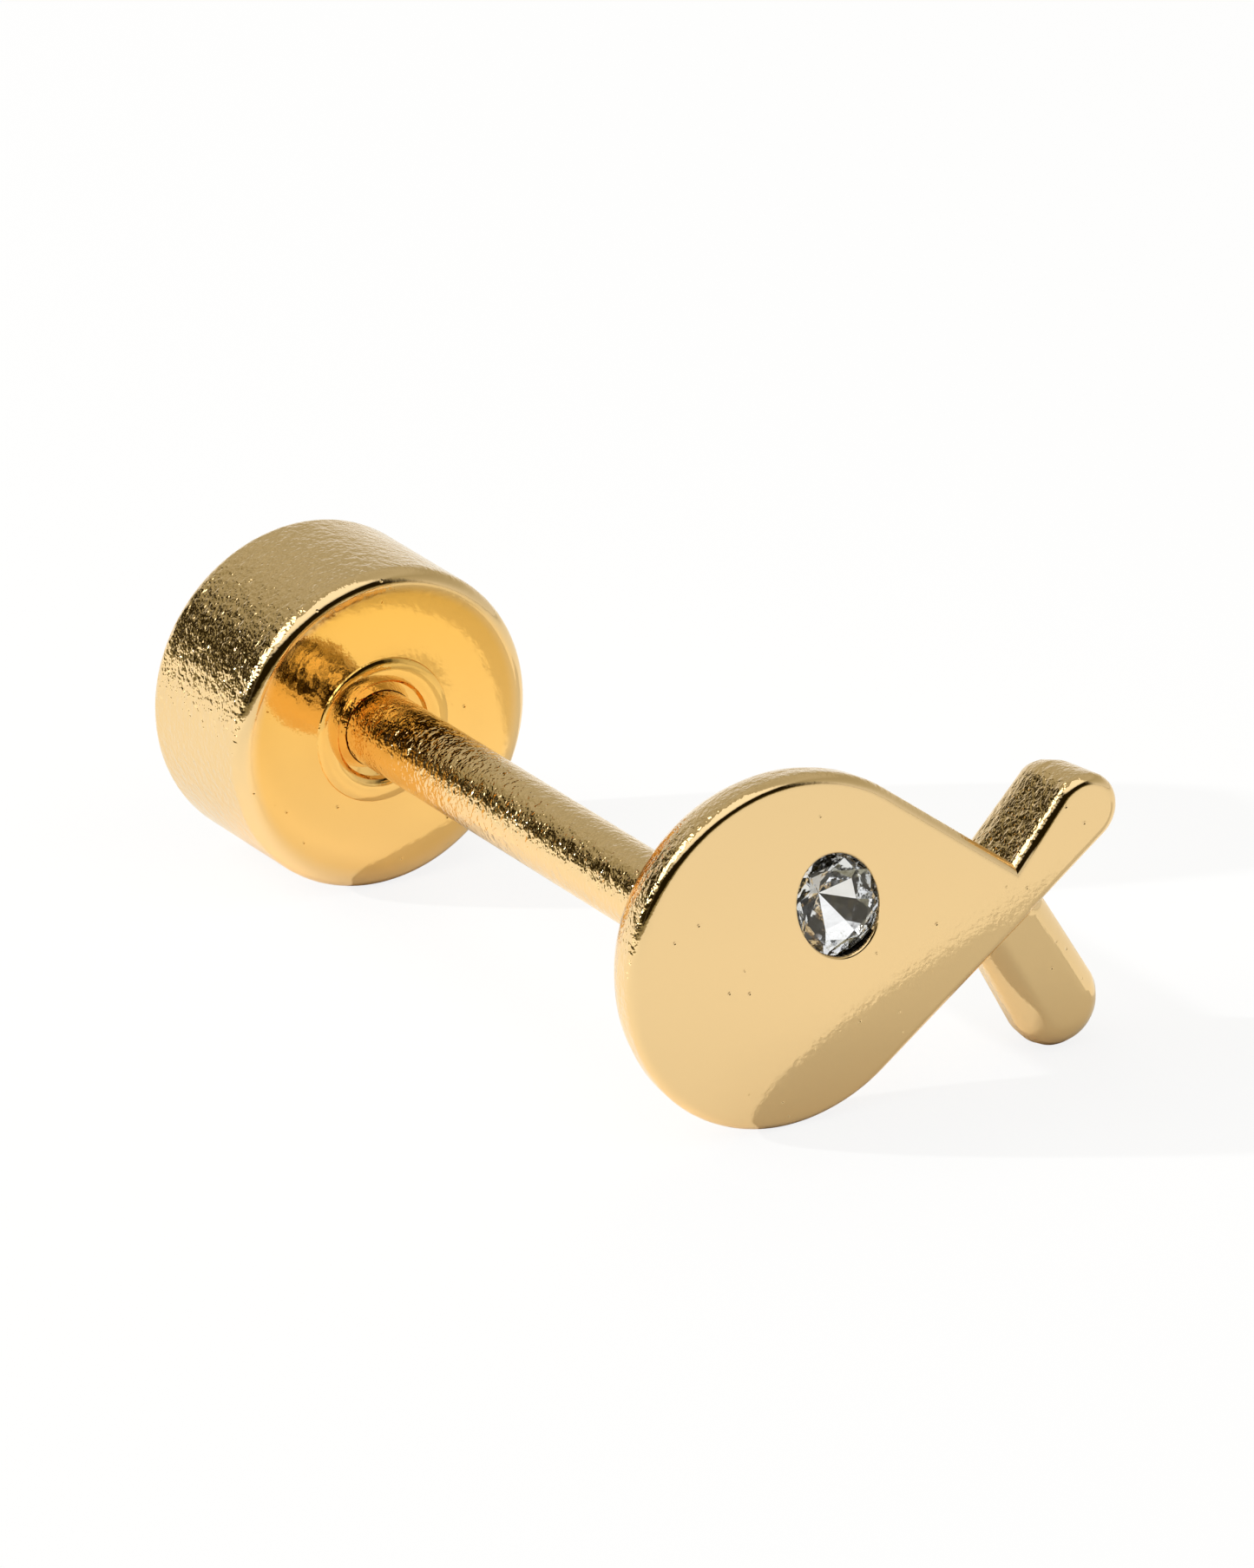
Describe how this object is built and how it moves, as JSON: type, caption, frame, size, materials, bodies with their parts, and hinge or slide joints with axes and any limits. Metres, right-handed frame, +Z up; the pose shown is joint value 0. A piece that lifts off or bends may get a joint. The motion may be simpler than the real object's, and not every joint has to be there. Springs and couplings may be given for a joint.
{
  "type": "screw back stud earring",
  "caption": "Fish-shaped stud earring in polished yellow gold with a clear cut stone as its eye, a plain post and a thick round screw back.",
  "frame": {"origin": "On the surface that the unworn stud rests on, under the middle of its bounding box.", "axes": "+Z is up, -Y is the way the fish's flat face looks, +Y runs along the post to the screw back, +X runs from the fish's nose to its tail."},
  "size_m": [0.0086, 0.0138, 0.0055],
  "materials": {
    "polished_gold": "polished",
    "clear_stone": "cut and polished"
  },
  "bodies": {
    "stud": {"fish_and_post": "polished_gold", "eye_stone": "clear_stone"},
    "back": {"screw_back": "polished_gold"}
  },
  "joints": [
    {"name": "back_off", "type": "slide", "parent": "stud", "child": "back", "axis": [0, 1, 0], "range_m": [0, 0.003]}
  ]
}
